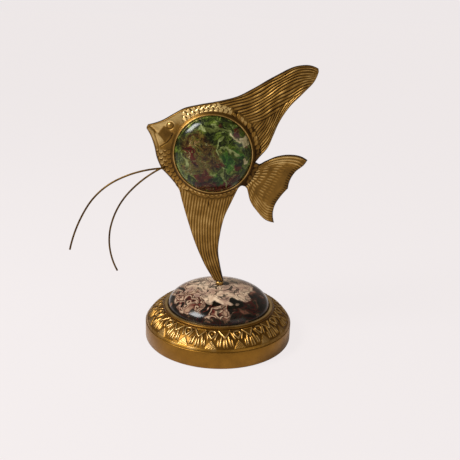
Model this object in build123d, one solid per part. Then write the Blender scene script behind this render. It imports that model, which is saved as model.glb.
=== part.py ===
"""Brass angelfish figurine on a round stone-topped base, in millimetres.

+Z is up, the fish faces -X and its front side looks along -Y. The origin is on the stud's axis, at the
underside of the felt pad. The fish, its stones and the stud turn together on the base.
"""

import os
from math import acos, cos, degrees, radians, sin, sqrt

from build123d import *

# Base: drum, boards and cover
base_d = 100.0  # outside of the drum
drum_h = 11.5  # drum wall, up to the cover
drum_wall = 1.8
drum_edge = 0.4  # rounding of the drum's lower edge
felt_t = 1.0
felt_proud = 0.3  # how far the felt stands out below the drum
board_t = 2.0  # fibreboard that closes the underside
ledge_w = 3.0  # ring inside the drum that carries the base plate
ledge_h = 5.6
base_plate_t = 1.6
cover_t = 1.4  # wall of the ornamented cover
cover_rim_h = 0.25  # upright edge at the cover's outside
cover_inset = 0.45  # cover's edge in from the drum's outside
cover_rise = 9.6  # from the drum's top to the stone's seat
cover_bulge = 1.4  # how far the cover's slope swells past a straight line
cover_skirt_t = 1.6  # spigot that centres the cover in the drum
nest_gap = 0.15  # between pieces that nest in each other

# Border ornament on the cover's slope: sunk panels, repeated round the base
border_units = 16
border_turn = -94.0  # bearing of the first unit's middle
border_depth = 0.5
border_drawn_slope = 14.782591  # slope length that the panels are drawn for
border_drawn_r = 43.825  # radius halfway down the slope that they are drawn for

# Panels of one unit, as (sideways from the unit's middle line, distance down the slope)
LOOP = [(0, 1.3), (1.3, 1.7), (1.8, 3.0), (1.1, 5.1), (0, 6.7)]  # right half of the loop's inside
# Panels between two units, as (sideways from the line between them, distance down the slope)
POINT = [(-3.9, 0.9), (3.9, 0.9), (0, 6.4)]
BESIDE_FAN = [
    (3.65, 2.9),
    (4.9, 5.6),
    (6.3, 7.5),
    (7.5, 8.3),
    (5.7, 12.5),
    (4.5, 12.5),
    (3.9, 8.9),
    (2.3, 5.2),
]
LEAF_GAPS = [[(0.25, 12.6), (1.75, 12.6), (0.8, 10.0)], [(2.4, 12.5), (3.9, 12.1), (2.4, 9.0)]]

# Base stone and its bezel
base_stone_d = 70.0  # over the girdle
base_stone_girdle = 0.8  # upright part below the bezel's lip
base_stone_shoulder = 0.3  # small bevel that the lip closes over
base_stone_rise = 14.15  # dome above the shoulder
base_bezel_w = 2.8
base_bezel_crown = 0.55  # how far the bead stands above the lip
base_lip = 0.25  # how far the lip reaches over the stone
stone_seat_w = 4.4  # ledge under the stone's rim

# Stud, nut and washers that hold the fish down and let it turn
stud_d = 3.0
stud_below_nut = 0.6
stud_in_fish = 3.0
bearing_gap = 0.05  # stud in the base plate, radial
thread_gap = 0.03  # stud in the ferrule, the fish and the nut, radial
stone_bore_gap = 0.4  # stud in the drilled stone and its bed, radial
weight_bore_d = 8.0
nut_flats = 5.5
nut_h = 2.4
washer_d = 9.0
washer_t = 0.8
fibre_washer_d = 7.0
fibre_washer_t = 0.6
ferrule_d = 5.2
ferrule_h = 2.65
hole_relief = 0.4  # blind end of the stud's hole in the fish

# Fish: stone settings
fish_t = 4.4  # thickness of the cast plate
body_stone_d = 49.0  # over the girdle
body_stone_shoulder = 0.3  # bevel between the girdle and the dome
body_stone_rise = 8.5  # dome above the shoulder
body_bezel_wall = 0.65  # wall of the bezel's spigot
body_bezel_h = 2.75  # how far the bezel stands off the plate
body_bezel_flare = 1.4  # how far the bezel's foot spreads over the plate
body_lip_t = 0.4
cement_t = 1.0  # bed between the two stones
ring_margin = 0.2  # plate beyond the bezel's foot, where the fins part
band_w = 4.5  # scaled band round the bezel
band_swell = 0.8  # how far the band stands off the plate

# Fish: stance
stone_ahead = 6.5  # stone's centre in front of the stud's axis
stone_height = 88.1  # stone's centre above the fish's foot
foot_front = 3.2  # foot of the stem, in front of the stud's axis
foot_back = 3.0  # and behind it
eye_bearing = 149.1
eye_reach = 6.0
eye_d = 3.6
eye_swell = 0.7  # how far the eye stands off the plate

# Fish outline: (bearing in degrees, reach beyond the ring round the stone). A bearing of 0 points at the
# tail, 90 straight up. Each list is one smooth edge, which starts where the one before it ends.
NOSE = [(157.9, 17.9)]
CROWN_AND_DORSAL_LEAD = [
    (150.3, 12.1),
    (134.7, 7.9),
    (125.5, 6.9),
    (107.5, 4.9),
    (82.1, 6.7),
    (68.9, 11.8),
    (60.3, 20.6),
    (53.6, 33.9),
    (47.5, 49.2),
    (44.4, 53.8),
    (41.0, 56.5),
]
DORSAL_TIP = [(40.0, 55.7)]
DORSAL_TRAIL = [
    (37.7, 50.7),
    (35.9, 41.2),
    (32.9, 27.9),
    (26.0, 17.8),
    (17.7, 12.3),
    (6.9, 7.5),
    (-2.4, 3.0),
    (-10.2, 0.7),
]
TAIL_TOP = [(-11.8, 2.6), (-6.5, 7.2), (-1.3, 13.2), (0.8, 20.9), (-0.4, 29.8), (-2.3, 33.5)]
TAIL_REAR_UPPER = [(-5.2, 32.0), (-11.5, 27.1), (-17.9, 25.7), (-23.8, 26.7)]
TAIL_REAR_LOWER = [(-31.6, 25.3), (-38.4, 25.9), (-43.6, 28.7), (-47.5, 34.3)]
TAIL_BELLY = [(-50.2, 30.4), (-51.8, 20.6), (-51.0, 12.5), (-47.4, 7.5), (-45.1, 5.0)]
TAIL_NOTCH = [(-46.5, 1.4), (-53.9, 1.4)]
STEM_TOP_FRONT = [(-131.7, 5.6), (-143.2, 5.0), (-160.5, 7.7)]
THROAT_AND_CHIN = [(-172.6, 9.2), (173.9, 11.1), (165.1, 14.7), (160.9, 18.2)]

# Stem edges: (share of the way from the foot to the stone's centre, distance in front of the stud's axis)
STEM_BACK = [(0.646, -6.6), (0.521, -2.1), (0.377, 0.5), (0.248, 1.4), (0.134, -0.1)]
STEM_FRONT = [(0.097, 8.6), (0.29, 16.4), (0.479, 22.0), (0.664, 26.7)]

# Fish carving: rays along the fins, scale edges across the band, and the face
ray_depth = 0.45
dorsal_rays = 7
tail_rays = 5
stem_rays = 4
ray_share = 0.3  # a ray groove's width, as a share of the distance between rays
scale_start = 126.0  # bearing of the first scale edge, behind the eye
scale_step = 8.5  # degrees from one scale edge to the next
scale_count = 20
scale_slant = 5.0  # degrees by which a scale edge leans back over the band
scale_edge_w = 2.0  # degrees
scale_depth = 0.65  # where the band is highest
face_depth = 0.4
CHEEK = [(154.1, 7.0), (161.7, 9.75), (167.8, 3.9), (154.2, 1.3)]  # bearings and reaches, as the outline's
MOUTH = [(157.5, 16.9), (158.5, 16.9), (161.3, 11.6), (160.3, 11.6)]

# Feelers: two wires that leave the same hole in the throat, one on each side
feeler_d = 1.2
feeler_hole_gap = 0.05
feeler_stand_off = 0.1  # wire off the plate
feeler_bend_r = 1.0  # where the wire turns out of the hole
feeler_splay = 5.0  # degrees that each strand leans away from the plate
feeler_bearing = -161.4
feeler_reach = 5.7
front_feeler_dip = 3.6  # degrees below level where it leaves the fish
FRONT_FEELER_ARCS = [(72.8, 23.6), (51.0, 31.3), (99.5, 18.2)]  # (radius, degrees of turn)
rear_feeler_dip = 28.5
REAR_FEELER_ARCS = [(85.9, 19.9), (58.6, 27.2), (44.9, 42.2)]

# Levels and radii that follow
base_r = base_d / 2
drum_bore_r = base_r - drum_wall
board_top = felt_t + board_t
plate_z = board_top + ledge_h
plate_top = plate_z + base_plate_t
drum_top = felt_proud + drum_h
seat_z = drum_top + cover_rise
base_stone_r = base_stone_d / 2
base_lip_z = seat_z + base_stone_girdle
dome_foot_z = base_lip_z + base_stone_shoulder
dome_foot_r = base_stone_r - base_stone_shoulder
apex_z = dome_foot_z + base_stone_rise
bezel_in_r = base_stone_r + nest_gap
bezel_out_r = bezel_in_r + base_bezel_w
seat_in_r = base_stone_r - stone_seat_w
skirt_out_r = drum_bore_r - nest_gap
stud_r = stud_d / 2
thread_r = stud_r + thread_gap
stone_bore_r = stud_r + stone_bore_gap
foot_z = apex_z + ferrule_h
washer_z = plate_z - washer_t
fibre_z = washer_z - fibre_washer_t
nut_z = fibre_z - nut_h
half_t = fish_t / 2
stone_z = foot_z + stone_height
body_stone_r = body_stone_d / 2
spigot_in_r = body_stone_r + nest_gap
spigot_out_r = spigot_in_r + body_bezel_wall
setting_r = spigot_out_r + nest_gap
bezel_foot_r = spigot_out_r + body_bezel_flare
ring_r = bezel_foot_r + ring_margin
lip_level = half_t + body_bezel_h
lip_r = body_stone_r - body_stone_shoulder + nest_gap
feeler_r = feeler_d / 2
fish_plane = Plane(origin=(-stone_ahead, 0, stone_z), x_dir=(1, 0, 0), z_dir=(0, -1, 0))


def turned(*outline):
    """A solid of revolution about Z, from outline edges drawn as (radius, height)."""
    return revolve(Plane.XZ * make_face(Curve() + list(outline)), axis=Axis.Z)


def ring(outer_r, inner_r, low, high):
    """A flat ring, or a disc where inner_r is zero."""
    disc = extrude(Circle(outer_r), high - low)
    if inner_r:
        disc -= extrude(Circle(inner_r), high - low)
    return Pos(Z=low) * disc


def cap_radius(foot_radius, rise):
    """Radius of the sphere whose cap has that foot and that rise."""
    return (foot_radius**2 + rise**2) / (2 * rise)


def around(bearing, reach):
    """A point of the fish's outline, in the stone's own frame."""
    distance = ring_r + reach
    return (distance * cos(radians(bearing)), distance * sin(radians(bearing)))


def on_stem(share, ahead):
    """A point on the stem's edge, in the stone's own frame."""
    return (stone_ahead - ahead, (share - 1) * stone_height)


# Base pieces


def felt_pad():
    return ring(drum_bore_r - nest_gap, 0, 0, felt_t)


def backing_board():
    return ring(drum_bore_r - nest_gap, 0, felt_t, board_top)


def base_drum():
    wall = ring(base_r, drum_bore_r, felt_proud, drum_top)
    lower_edge = wall.edges().filter_by(GeomType.CIRCLE).group_by(Axis.Z)[0].sort_by(SortBy.RADIUS)[-1]
    wall = fillet(lower_edge, drum_edge)
    return wall + ring(drum_bore_r, drum_bore_r - ledge_w, board_top, plate_z)


def base_plate():
    return ring(drum_bore_r - nest_gap, stud_r + bearing_gap, plate_z, plate_top)


def slope_arc(outer, inner, bulge):
    """The cover's swelling slope between two (radius, height) points."""
    run = (outer[0] - inner[0], outer[1] - inner[1])
    length = sqrt(run[0] ** 2 + run[1] ** 2)
    middle_r = (outer[0] + inner[0]) / 2 - run[1] / length * bulge
    middle_z = (outer[1] + inner[1]) / 2 + run[0] / length * bulge
    return ThreePointArc(outer, (middle_r, middle_z), inner)


def rim_cover():
    shoulder_r = bezel_out_r + nest_gap
    rim_top = drum_top + cover_rim_h
    under_z = seat_z - cover_t
    skirt_in_r = skirt_out_r - cover_skirt_t
    edge_r = base_r - cover_inset
    outside = slope_arc((edge_r, rim_top), (shoulder_r, seat_z), cover_bulge)
    inside = slope_arc((skirt_in_r, drum_top), (shoulder_r - cover_t, under_z), cover_bulge)
    body = Polyline(
        (shoulder_r, seat_z),
        (seat_in_r, seat_z),
        (seat_in_r, under_z),
        (shoulder_r - cover_t, under_z),
    )
    skirt = Polyline(
        (skirt_in_r, drum_top),
        (skirt_in_r, plate_top),
        (skirt_out_r, plate_top),
        (skirt_out_r, drum_top),
        (edge_r, drum_top),
        (edge_r, rim_top),
    )
    return turned(outside, body, inside, skirt) - border_panels((edge_r, rim_top), (shoulder_r, seat_z))


def border_panels(outer, inner):
    """The border's sunk panels all round, between the slope's outer and inner (radius, height) ends."""
    run = (outer[0] - inner[0], outer[1] - inner[1])
    length = sqrt(run[0] ** 2 + run[1] ** 2)
    up = (-run[1] / length, run[0] / length)
    lifted = lambda point, lift: (point[0] + up[0] * lift, point[1] + up[1] * lift)
    clear = 2 * cover_bulge
    floor = slope_arc(lifted(outer, -border_depth), lifted(inner, -border_depth), cover_bulge)
    skin = turned(floor, Polyline(floor @ 1, lifted(inner, clear), lifted(outer, clear), floor @ 0))
    slope = Plane((inner[0], 0, inner[1]), x_dir=(0, 1, 0), z_dir=(up[0], 0, up[1]))
    flip = lambda points: [(-across, along) for across, along in points]
    # The sketch's Y runs up the slope, so distances down it are negative, and the drawing fits the slope
    down = length / border_drawn_slope
    round_base = (outer[0] + inner[0]) / 2 / border_drawn_r
    fitted = lambda points: [(across * round_base, -along * down) for across, along in points]
    drawn = lambda points: make_face(Polyline(*fitted(points), close=True))
    sunk = lambda points: (slope * extrude(drawn(points), clear + cover_bulge, both=True)) & skin
    beside = [BESIDE_FAN] + LEAF_GAPS
    motif = [sunk(LOOP + flip(LOOP[-2:0:-1]))]
    between = [sunk(points) for points in [POINT] + beside + [flip(points) for points in beside]]
    step = 360 / border_units
    panels = []
    for unit in range(border_units):
        panels += [Rot(Z=border_turn + unit * step) * panel for panel in motif]
        panels += [Rot(Z=border_turn + (unit + 0.5) * step) * panel for panel in between]
    return panels


def stone_bed():
    return ring(seat_in_r - nest_gap, stone_bore_r, seat_z - cover_t, seat_z)


def base_weight():
    low, high = plate_top, seat_z - cover_t
    shoulder_r = bezel_out_r - cover_t - 2 * nest_gap
    rim_r = skirt_out_r - cover_skirt_t - 2 * nest_gap
    return turned(
        Polyline(
            (weight_bore_d / 2, high - nest_gap),
            (weight_bore_d / 2, low),
            (rim_r, low),
            (rim_r, drum_top - nest_gap),
            (shoulder_r, high - nest_gap),
            close=True,
        )
    )


def base_stone():
    bore_angle = degrees(acos(stone_bore_r / dome_foot_r))
    dome = EllipticalCenterArc((0, dome_foot_z), dome_foot_r, base_stone_rise, arc_size=bore_angle)
    bore_top = (stone_bore_r, (dome @ 1).Y)
    return turned(
        dome,
        Polyline(
            bore_top,
            (stone_bore_r, seat_z),
            (base_stone_r, seat_z),
            (base_stone_r, base_lip_z),
            (dome_foot_r, dome_foot_z),
        ),
    )


def base_bezel():
    lip_in_r = dome_foot_r + nest_gap
    lip_top = dome_foot_z + base_lip
    bead_r = (lip_in_r + bezel_out_r) / 2
    shoulder_z = (seat_z + lip_top) / 2
    return turned(
        ThreePointArc((lip_in_r, lip_top), (bead_r, lip_top + base_bezel_crown), (bezel_out_r, shoulder_z)),
        Polyline(
            (bezel_out_r, shoulder_z),
            (bezel_out_r, seat_z),
            (bezel_in_r, seat_z),
            (bezel_in_r, base_lip_z),
            (lip_in_r, dome_foot_z),
            (lip_in_r, lip_top),
        ),
    )


# Fixing pieces


def flat_washer():
    return ring(washer_d / 2, stud_r + bearing_gap, washer_z, plate_z)


def fibre_washer():
    return ring(fibre_washer_d / 2, thread_r, fibre_z, washer_z)


def lock_nut():
    hexagon = RegularPolygon(nut_flats / 2, 6, major_radius=False)
    return Pos(Z=nut_z) * (extrude(hexagon, nut_h) - extrude(Circle(thread_r), nut_h))


def mounting_stud():
    low = nut_z - stud_below_nut
    return ring(stud_r, 0, low, foot_z + stud_in_fish)


def foot_ferrule():
    return ring(ferrule_d / 2, thread_r, apex_z, foot_z)


# Fish pieces, drawn in the stone's own frame: local X and Y lie in the plate, local Z looks to the front


def fish_outline():
    """The plate's outline, from the nose over the back, round the tail and down the stem to the chin."""
    stem_back = [on_stem(*point) for point in STEM_BACK] + [on_stem(0, -foot_back)]
    foot = [on_stem(0, foot_front)]
    stem_front = [on_stem(*point) for point in STEM_FRONT]
    upper = [CROWN_AND_DORSAL_LEAD, DORSAL_TIP, DORSAL_TRAIL, TAIL_TOP, TAIL_REAR_UPPER, TAIL_REAR_LOWER]
    chain = [[around(*point) for point in edge] for edge in upper + [TAIL_BELLY, TAIL_NOTCH]]
    chain += [stem_back, foot, stem_front + [around(*point) for point in STEM_TOP_FRONT]]
    chain += [[around(*point) for point in edge] for edge in (THROAT_AND_CHIN, NOSE)]
    corner = around(*NOSE[0])
    edges = []
    for points in chain:
        edges.append(Spline(corner, *points) if len(points) > 1 else Line(corner, points[0]))
        corner = points[-1]
    return make_face(Curve() + edges)


def scaled_band():
    """The swelling band round the bezel, before it is trimmed to the fish's outline."""
    top = half_t + band_swell
    rim = ring_r + band_w
    face = [(setting_r, 0), (setting_r, top), (ring_r, top), (rim, half_t), (rim, 0)]
    half = turned(Polyline(*face, close=True))
    return half + mirror(half, about=Plane.XY)


def eye_boss():
    cap = cap_radius(eye_d / 2, eye_swell)
    ball = Pos(*around(eye_bearing, eye_reach), half_t + eye_swell - cap) * Sphere(cap)
    return ball + mirror(ball, about=Plane.XY)


def sunk_both(outline, depth, height):
    """A cut on both sides of the plate, to a depth below a height off the middle plane."""
    cut = Pos(Z=height - depth) * extrude(outline, depth + half_t)
    return [cut, mirror(cut, about=Plane.XY)]


def ray_grooves(front, back, place, count):
    """Tapering grooves along a fin, spread evenly between two edges that are given at the same stations."""
    half_width = ray_share / 2 / (count + 1)
    cuts = []
    for ray in range(1, count + 1):
        lines = []
        for share in (ray / (count + 1) - half_width, ray / (count + 1) + half_width):
            spots = [(a + share * (c - a), b + share * (d - b)) for (a, b), (c, d) in zip(front, back)]
            lines.append(Spline(*[place(*spot) for spot in spots]))
        ends = [Line(lines[0] @ end, lines[1] @ end) for end in (0, 1)]
        cuts += sunk_both(make_face(Curve() + lines + ends), ray_depth, half_t)
    return cuts


def fish_carving():
    """Every cut in the fish's two faces."""
    cuts = ray_grooves(CROWN_AND_DORSAL_LEAD[4:9], DORSAL_TRAIL[6:1:-1], around, dorsal_rays)
    cuts += ray_grooves(TAIL_TOP[1:4], TAIL_BELLY[3:0:-1], around, tail_rays)
    cuts += ray_grooves(STEM_FRONT, [STEM_BACK[i] for i in (4, 3, 1, 0)], on_stem, stem_rays)
    top = half_t + band_swell
    for scale in range(scale_count):
        foot = scale_start - scale * scale_step
        tip = foot - scale_slant
        corners = [(foot, 0), (foot - scale_edge_w, 0), (tip - scale_edge_w, band_w), (tip, band_w)]
        edge = make_face(Polyline(*[around(*corner) for corner in corners], close=True))
        cuts += sunk_both(edge, scale_depth, top)
    for feature in (CHEEK, MOUTH):
        shape = make_face(Polyline(*[around(*corner) for corner in feature], close=True))
        cuts += sunk_both(shape, face_depth, half_t)
    return cuts


def fish_casting():
    outline = fish_outline() + Circle(ring_r)
    plate = extrude(outline, half_t, both=True)
    thick = extrude(outline, half_t + band_swell, both=True)
    reach = Pos(*around(eye_bearing, eye_reach)) * Cylinder(eye_d / 2, fish_t + 2 * eye_swell)
    body = plate + (scaled_band() & thick) + (eye_boss() & reach)
    body -= fish_carving()
    body -= Cylinder(setting_r, fish_t + 2 * band_swell)
    body -= Pos(*around(feeler_bearing, feeler_reach)) * Cylinder(feeler_r + feeler_hole_gap, 2 * fish_t)
    body = fish_plane * body
    return body - ring(thread_r, 0, foot_z, foot_z + stud_in_fish + hole_relief)


def body_stone():
    back = cement_t / 2
    shoulder_r = body_stone_r - body_stone_shoulder
    girdle = lip_level - body_lip_t - nest_gap - body_stone_shoulder / 2
    foot = girdle + body_stone_shoulder / 2
    crown = Spline((shoulder_r, foot), (0, foot + body_stone_rise), tangents=[(-0.45, 1), (-1, 0)])
    rest = Polyline(
        (0, foot + body_stone_rise),
        (0, back),
        (body_stone_r, back),
        (body_stone_r, girdle),
        (shoulder_r, foot),
    )
    return turned(crown, rest)


def body_bezel():
    back = cement_t / 2
    under_lip = lip_level - body_lip_t
    return turned(
        Polyline(
            (spigot_in_r, back),
            (spigot_out_r, back),
            (spigot_out_r, half_t + band_swell),
            (bezel_foot_r, half_t + band_swell),
            (spigot_out_r, lip_level),
            (lip_r, lip_level),
            (lip_r, under_lip),
            (spigot_in_r, under_lip),
            close=True,
        )
    )


def stone_cement():
    return ring(body_stone_r, 0, -cement_t / 2, cement_t / 2)


def bend(start, heading, new_heading, radius):
    """An arc that turns from one heading to another, and the point where it ends."""
    inward = (new_heading - heading * heading.dot(new_heading)).normalized()
    turn = radians(heading.get_angle(new_heading))
    step = lambda angle: start + heading * (radius * sin(angle)) + inward * (radius * (1 - cos(angle)))
    return ThreePointArc(start, step(turn / 2), step(turn)), step(turn)


def feeler(side, dip, arcs):
    """A wire from the middle of its hole to its tip. side is -1 at the front, 1 at the rear."""
    hole_x, hole_z = around(feeler_bearing, feeler_reach)
    middle = Vector(hole_x - stone_ahead, 0, hole_z + stone_z)
    lean = radians(feeler_splay)
    ahead = Vector(-cos(lean), side * sin(lean), 0)
    down = Vector(0, 0, -1)
    heading = lambda fall: ahead * cos(radians(fall)) + down * sin(radians(fall))
    outward = Vector(0, side, 0)
    turn_at = middle + outward * (half_t + feeler_stand_off + feeler_r - feeler_bend_r)
    arc, at = bend(turn_at, outward, heading(dip), feeler_bend_r)
    path = [Line(middle, turn_at), arc]
    for radius, turn in arcs:
        arc, at = bend(at, heading(dip), heading(dip + turn), radius)
        path.append(arc)
        dip += turn
    section = Plane(origin=middle, z_dir=outward) * Circle(feeler_r)
    return sweep(section, path=Wire(path))


half_turn = Rot(Y=180)
pieces = {
    "felt_pad": felt_pad(),
    "backing_board": backing_board(),
    "base_drum": base_drum(),
    "base_plate": base_plate(),
    "rim_cover": rim_cover(),
    "base_weight": base_weight(),
    "stone_bed": stone_bed(),
    "base_stone": base_stone(),
    "base_bezel": base_bezel(),
    "flat_washer": flat_washer(),
    "fibre_washer": fibre_washer(),
    "lock_nut": lock_nut(),
    "mounting_stud": mounting_stud(),
    "foot_ferrule": foot_ferrule(),
    "fish_casting": fish_casting(),
    "front_bezel": fish_plane * body_bezel(),
    "rear_bezel": fish_plane * half_turn * body_bezel(),
    "front_stone": fish_plane * body_stone(),
    "rear_stone": fish_plane * half_turn * body_stone(),
    "stone_cement": fish_plane * stone_cement(),
    "front_feeler": feeler(-1, front_feeler_dip, FRONT_FEELER_ARCS),
    "rear_feeler": feeler(1, rear_feeler_dip, REAR_FEELER_ARCS),
}

os.makedirs("parts", exist_ok=True)
for name, piece in pieces.items():
    export_step(piece, f"parts/{name}.step")
    print(f"{name}: {len(piece.solids())} solid, {piece.volume:.0f} mm3")
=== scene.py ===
# %% [markdown]
# # A brass angelfish on a stone-topped base
# The object is a desk figurine: a flat cast fish with a polished stone in its side and two wire feelers,
# on one stud above a round brass base with a second, domed stone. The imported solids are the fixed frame.
# Each piece that shows is modelled again here with its carving, at the same place and size. The feelers and
# the pieces that stay hidden keep their solids and get a finish of their own.

# %% Frame
from math import cos, pi, radians, sin, sqrt, tau

import bmesh
import bpy
import numpy as np
from mathutils import Matrix, Vector


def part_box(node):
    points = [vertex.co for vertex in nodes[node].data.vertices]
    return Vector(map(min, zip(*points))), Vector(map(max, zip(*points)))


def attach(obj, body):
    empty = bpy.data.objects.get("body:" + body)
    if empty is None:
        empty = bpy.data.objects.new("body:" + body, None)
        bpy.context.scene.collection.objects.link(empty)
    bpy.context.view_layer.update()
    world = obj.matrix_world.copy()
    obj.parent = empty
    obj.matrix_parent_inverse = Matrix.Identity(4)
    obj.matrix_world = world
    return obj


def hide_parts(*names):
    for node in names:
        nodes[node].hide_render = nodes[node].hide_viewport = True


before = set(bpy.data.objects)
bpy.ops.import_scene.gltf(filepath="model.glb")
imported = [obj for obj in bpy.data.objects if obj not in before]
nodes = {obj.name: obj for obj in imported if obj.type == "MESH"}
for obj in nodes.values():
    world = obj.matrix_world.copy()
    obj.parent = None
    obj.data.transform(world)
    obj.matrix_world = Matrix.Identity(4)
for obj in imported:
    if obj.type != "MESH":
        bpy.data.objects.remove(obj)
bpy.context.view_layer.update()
MM = 0.001

# %% [markdown]
# ## Sizes from the frame
# Every place comes from the solids, so that the looks follow the construction. Meshes are built in
# millimetres, which keeps the numbers readable, and are brought to metres when a piece is finished.

# %% Sizes from the frame


def box_mm(node):
    """Lowest and highest corner of a solid, in millimetres."""
    low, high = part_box(node)
    return low / MM, high / MM


stone_low, stone_high = box_mm("front_stone")
bezel_low, bezel_high = box_mm("front_bezel")
casting_low, casting_high = box_mm("fish_casting")
stone_x = (stone_low.x + stone_high.x) / 2
stone_z = (stone_low.z + stone_high.z) / 2
girdle_r = (stone_high.x - stone_low.x) / 2
bezel_r = (bezel_high.x - bezel_low.x) / 2
band_top = casting_high.y
foot_z = casting_low.z
ring_margin = 0.2
ring_r = bezel_r + ring_margin
base_r = box_mm("base_drum")[1].x
drum_top = box_mm("base_drum")[1].z
seat_z = box_mm("rim_cover")[1].z
print(f"stone at {stone_x:.1f}, {stone_z:.1f}, ring {ring_r:.2f}, base {base_r:.1f} mm")

# %% [markdown]
# ## Helpers for shapes
# One function turns a profile into a round piece with the spin operator. One stores how far a piece's patina is
# rubbed off, with painted shade and painted highlights where a piece has them, as an attribute that the brass
# reads later. One makes an object of a finished bmesh and sets it on its body in the frame.

# %% Helpers for shapes


def turned(profile, steps):
    """A round piece about Z, from a closed profile of (radius, height) points."""
    bm = bmesh.new()
    verts = [bm.verts.new((radius, 0, height)) for radius, height in profile]
    edges = [bm.edges.new(pair) for pair in zip(verts, verts[1:])]
    if profile[0][0] or profile[-1][0]:
        edges.append(bm.edges.new((verts[-1], verts[0])))
    bmesh.ops.spin(bm, geom=verts + edges, axis=(0, 0, 1), angle=tau, steps=steps, use_merge=True)
    bmesh.ops.remove_doubles(bm, verts=bm.verts, dist=0.001)
    bmesh.ops.recalc_face_normals(bm, faces=bm.faces)
    return bm


def store_wear_and_painted_light(bm, amounts):
    """Stores at each vertex how far the patina is rubbed off, from 0 to 1, together with painted shade and painted
    highlights where a piece has them.
    """
    layer = bm.verts.layers.float.new("wear_and_painted_light")
    for v, amount in zip(bm.verts, np.broadcast_to(np.clip(amounts, 0.0, 1.0), len(bm.verts))):
        v[layer] = amount


def finish_piece(bm, name, body, material, node):
    """Makes an object of a bmesh in millimetres, and puts it in the frame in place of a solid."""
    bmesh.ops.scale(bm, vec=(MM, MM, MM), verts=bm.verts)
    mesh = bpy.data.meshes.new(name)
    bm.to_mesh(mesh)
    bm.free()
    mesh.shade_smooth()
    mesh.materials.append(material)
    piece = bpy.data.objects.new(name, mesh)
    bpy.context.scene.collection.objects.link(piece)
    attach(piece, body)
    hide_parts(node)
    print(f"{name}: {sum(len(face.vertices) - 2 for face in mesh.polygons)} triangles")


def smooth_step(low, high, x):
    """An even rise from 0 to 1 between two values."""
    k = np.clip((x - low) / (high - low), 0, 1)
    return k * k * (3 - 2 * k)


# %% [markdown]
# ## Helpers for materials
# One function reads an sRGB hex colour and one adds any shader node. The short ones after them are for the few
# nodes that every material here needs, so that a material reads like a recipe.

# %% Helpers for materials


def linear(code):
    """An sRGB hex colour as linear RGBA."""
    parts = [int(code[i : i + 2], 16) / 255 for i in (1, 3, 5)]
    return [c / 12.92 if c <= 0.04045 else ((c + 0.055) / 1.055) ** 2.4 for c in parts] + [1.0]


def add(tree, kind, inputs=None, stops=(), **settings):
    """Adds a shader node, with its settings, its values or links, and the stops of a colour ramp."""
    made = tree.nodes.new("ShaderNode" + kind)
    for name, value in settings.items():
        setattr(made, name, value)
    for key, value in (inputs or {}).items():
        if isinstance(value, bpy.types.NodeSocket):
            tree.links.new(value, made.inputs[key])
        else:
            made.inputs[key].default_value = value
    for i, (place, code) in enumerate(stops):
        elements = made.color_ramp.elements
        stop = elements[i] if i < 2 else elements.new(place)
        stop.position = place
        stop.color = linear(code)
    return made


def maths(tree, operation, *values):
    """The result of one sum."""
    return add(tree, "Math", dict(enumerate(values)), operation=operation).outputs[0]


def vectors(tree, operation, first, second, result="Vector"):
    """The result of one sum with vectors."""
    return add(tree, "VectorMath", {0: first, 1: second}, operation=operation).outputs[result]


def times(tree, vector, factor):
    """A vector made longer or shorter."""
    return add(tree, "VectorMath", {0: vector, "Scale": factor}, operation="SCALE").outputs[0]


def fade(tree, value, start, end, low, high):
    """Leads a value from one range to another, and holds it at both ends."""
    return add(tree, "MapRange", {0: value, 1: start, 2: end, 3: low, 4: high}).outputs[0]


def noise(tree, place, size_mm, detail, **more):
    """The value and the colour of a noise with features of about one size."""
    inputs = {"Vector": place, "Scale": 1 / (size_mm * MM), "Detail": detail, **more}
    return add(tree, "TexNoise", inputs).outputs


def ramp(tree, value, stops):
    """A colour ramp's colour. The stops are its low end, its high end, and then those between."""
    return add(tree, "ValToRGB", {0: value}, stops=stops).outputs[0]


def blend(tree, share, under, over, **settings):
    """One colour laid over another by a share."""
    return add(tree, "Mix", {0: share, 6: under, 7: over}, data_type="RGBA", **settings).outputs[2]


def bump(tree, strength, depth_mm, height):
    """A surface made uneven by a pattern."""
    return add(tree, "Bump", {"Strength": strength, "Distance": depth_mm * MM, "Height": height}).outputs[0]


def new_material(name):
    """An empty node material and its tree."""
    material = bpy.data.materials.new(name)
    material.use_nodes = True
    material.node_tree.nodes.clear()
    return material, material.node_tree


def end_in(tree, kind, inputs):
    """Ends a material's tree in a shader."""
    add(tree, "OutputMaterial", {0: add(tree, kind, inputs).outputs[0]})


# %% [markdown]
# ## Antiqued cast brass
# The castings were dipped in a dark patina and rubbed back, so brown stays in the grooves and the high spots
# shine. Each carved mesh stores how much rubbing a place got in a vertex attribute. The same attribute also
# carries painted shade along the rounded outlines and painted highlights on the brow and on the base bead's crest.
# The colour ramp reads it, with a little noise, because hand rubbing is never even. A thin lacquer adds a soft
# second gloss.

# %% Antiqued cast brass


def antiqued_brass(name, recess, middle, rubbed, rough_low, rough_high, cloudy):
    """Cast brass with dark grooves and rubbed ridges, and with the painted shade and painted highlights stored
    with the rubbing.
    """
    material, tree = new_material(name)
    place = add(tree, "TexCoord").outputs["Object"]
    # The attribute holds the rubbing, and also painted shade along rounded outlines and painted highlights on a
    # few crests.
    wear_and_painted_light = add(tree, "Attribute", attribute_name="wear_and_painted_light").outputs["Fac"]
    cloud_mm, grain_mm = 7.0, 0.45
    cloud = noise(tree, place, cloud_mm, 4.0)[0]
    grain = noise(tree, place, grain_mm, 2.0)[0]
    rubbing_and_painted_light = maths(tree, "ADD", wear_and_painted_light, fade(tree, cloud, 0.3, 0.7, -cloudy, cloudy))
    inputs = {
        "Base Color": ramp(tree, rubbing_and_painted_light, [(0.0, recess), (1.0, rubbed), (0.5, middle)]),
        "Metallic": 1.0,
        "Roughness": fade(tree, rubbing_and_painted_light, 0.0, 1.0, rough_high, rough_low),
        "Coat Weight": 0.05,
        "Coat Roughness": 0.25,
        "Normal": bump(tree, 0.12, 0.1, grain),
    }
    end_in(tree, "BsdfPrincipled", inputs)
    return material


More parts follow.
